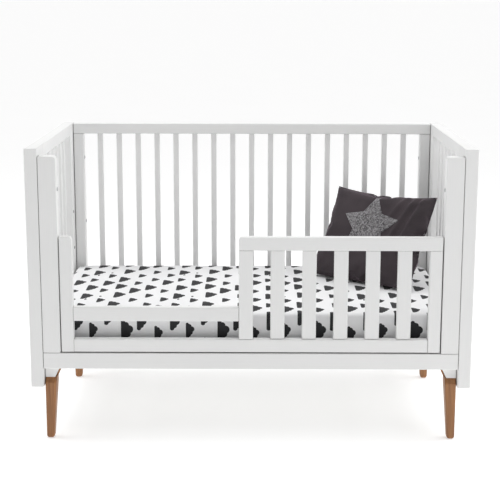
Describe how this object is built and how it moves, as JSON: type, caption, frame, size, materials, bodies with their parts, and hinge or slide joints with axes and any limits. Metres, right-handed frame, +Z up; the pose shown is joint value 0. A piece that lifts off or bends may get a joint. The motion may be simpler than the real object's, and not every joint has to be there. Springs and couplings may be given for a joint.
{
  "type": "baby crib",
  "caption": "Full-size slatted crib with a stepped toddler guard rail, tapered wooden legs, mattress, fitted sheet and cushion.",
  "frame": {"origin": "on the floor, under the middle of the crib's box", "axes": "+X along the crib's length to its right end as seen from the front, +Y from the front guard rail to the back panel, +Z up"},
  "size_m": [1.412, 0.79, 0.95],
  "materials": {
    "white_paint": "satin white paint on wood",
    "leg_wood": "clear satin lacquer on warm brown wood",
    "bracket_steel": "zinc plated",
    "ticking": "plain woven mattress cover",
    "printed_cotton": "white cotton with a dark cloud print",
    "cushion_cloth": "dark brushed cotton",
    "star_cloth": "pale speckled boucle applique",
    "bolt_steel": "zinc plated"
  },
  "bodies": {
    "frame": {"left_front_stile": "white_paint", "left_rear_stile": "white_paint", "left_end_grille": "white_paint", "right_front_stile": "white_paint", "right_rear_stile": "white_paint", "right_end_grille": "white_paint", "back_left_stile": "white_paint", "back_right_stile": "white_paint", "back_top_rail": "white_paint", "back_bottom_rail": "white_paint", "back_slat_01": "white_paint", "back_slat_02": "white_paint", "back_slat_03": "white_paint", "back_slat_04": "white_paint", "back_slat_05": "white_paint", "back_slat_06": "white_paint", "back_slat_07": "white_paint", "back_slat_08": "white_paint", "back_slat_09": "white_paint", "back_slat_10": "white_paint", "back_slat_11": "white_paint", "back_slat_12": "white_paint", "back_slat_13": "white_paint", "back_slat_14": "white_paint", "back_slat_15": "white_paint", "back_slat_16": "white_paint", "back_slat_17": "white_paint", "left_front_post": "white_paint", "right_front_post": "white_paint", "front_apron": "white_paint", "rear_base_rail": "white_paint", "front_left_leg_block": "white_paint", "front_right_leg_block": "white_paint", "rear_left_leg_block": "white_paint", "rear_right_leg_block": "white_paint", "front_left_leg": "leg_wood", "front_right_leg": "leg_wood", "rear_left_leg": "leg_wood", "rear_right_leg": "leg_wood"},
    "guard_rail": {"guard_left_upright": "white_paint", "guard_right_upright": "white_paint", "guard_middle_upright": "white_paint", "guard_bottom_rail": "white_paint", "guard_low_rail": "white_paint", "guard_top_rail": "white_paint", "guard_slat_1": "white_paint", "guard_slat_2": "white_paint", "guard_slat_3": "white_paint", "guard_slat_4": "white_paint", "guard_slat_5": "white_paint"},
    "mattress_support": {"mattress_support_frame": "white_paint", "front_left_support_bracket": "bracket_steel", "front_right_support_bracket": "bracket_steel", "rear_left_support_bracket": "bracket_steel", "rear_right_support_bracket": "bracket_steel"},
    "mattress": {"mattress": "ticking", "fitted_sheet": "printed_cotton"},
    "cushion": {"scatter_cushion": "cushion_cloth"}
  },
  "joints": [
    {"name": "guard_removal", "type": "slide", "parent": "frame", "child": "guard_rail", "axis": [0, -1, 0], "range_m": [0, 0.3]},
    {"name": "support_height", "type": "slide", "parent": "frame", "child": "mattress_support", "axis": [0, 0, 1], "range_m": [0, 0.274]},
    {"name": "mattress_lift", "type": "slide", "parent": "mattress_support", "child": "mattress", "axis": [0, 0, 1], "range_m": [0, 0.45]},
    {"name": "cushion_lift", "type": "slide", "parent": "mattress", "child": "cushion", "axis": [0, 0, 1], "range_m": [0, 0.3]}
  ]
}
